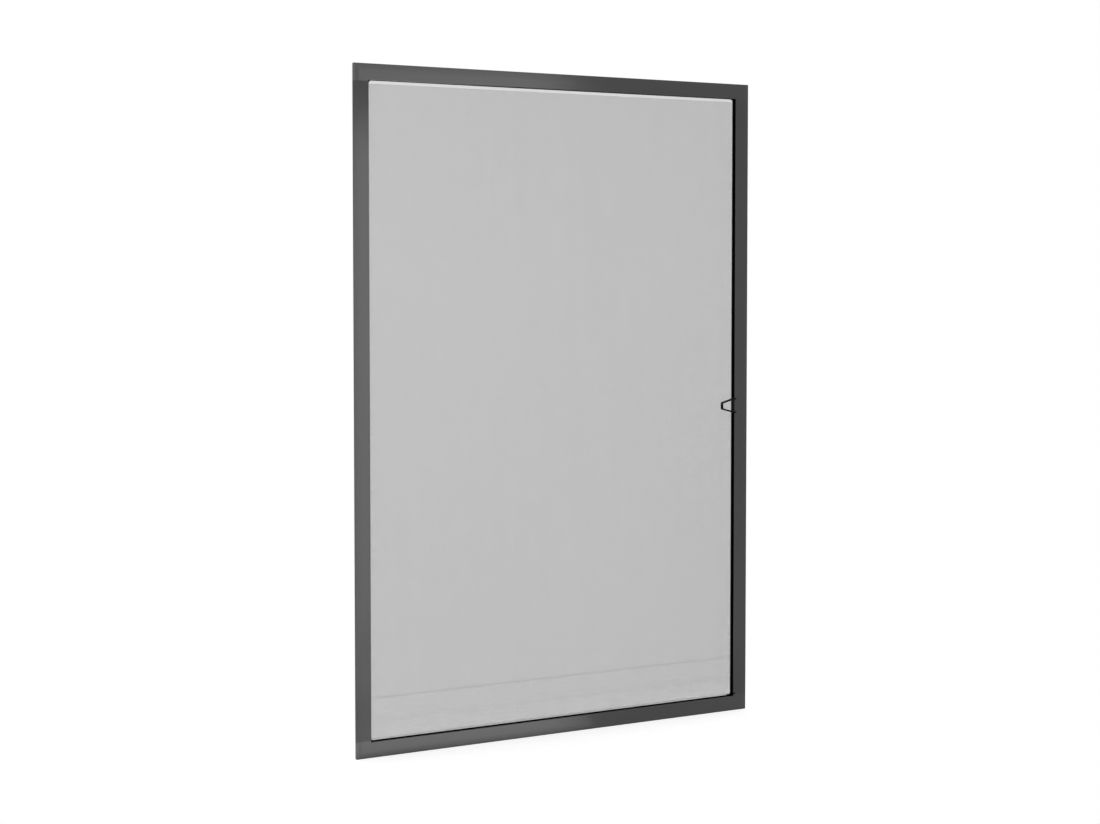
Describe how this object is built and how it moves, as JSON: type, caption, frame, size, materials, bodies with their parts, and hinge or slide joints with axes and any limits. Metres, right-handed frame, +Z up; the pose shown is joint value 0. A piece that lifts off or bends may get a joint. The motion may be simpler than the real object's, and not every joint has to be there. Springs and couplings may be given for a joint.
{
  "type": "window insect screen",
  "caption": "Upright framed insect screen for a window: slim dark aluminium frame with square corners, fine see-through cloth, a small pull handle and hanging hooks behind.",
  "frame": {"origin": "middle of the four hook holes, in the plane where the hooks bear on the window frame", "axes": "+Z up along the screen's height, +X across to the handle's side, +Y from the outside face to the room"},
  "size_m": [0.8, 0.0309, 1.2],
  "materials": {
    "frame_coat": "anthracite satin coat on extruded aluminium",
    "corner_plastic": "anthracite moulded plastic, fine grain",
    "screen_cloth": "dark grey coated fibreglass weave",
    "black_rubber": "matt black rubber",
    "black_plastic": "black moulded plastic",
    "seal_pile": "dark grey woven pile",
    "hanger_steel": "zinc-plated sheet steel",
    "screw_steel": "zinc-plated steel"
  },
  "bodies": {
    "root": {"profile_top": "frame_coat", "profile_bottom": "frame_coat", "profile_left": "frame_coat", "profile_right": "frame_coat", "corner_top_left": "corner_plastic", "corner_top_right": "corner_plastic", "corner_bottom_left": "corner_plastic", "corner_bottom_right": "corner_plastic", "insect_mesh": "screen_cloth", "mesh_spline": "black_rubber", "pull_handle": "black_plastic", "brush_seal_top": "seal_pile", "brush_seal_bottom": "seal_pile", "brush_seal_left": "seal_pile", "brush_seal_right": "seal_pile", "hanger_top_left": "hanger_steel", "hanger_top_right": "hanger_steel", "hanger_bottom_left": "hanger_steel", "hanger_bottom_right": "hanger_steel", "hanger_screws": "screw_steel"}
  },
  "joints": []
}
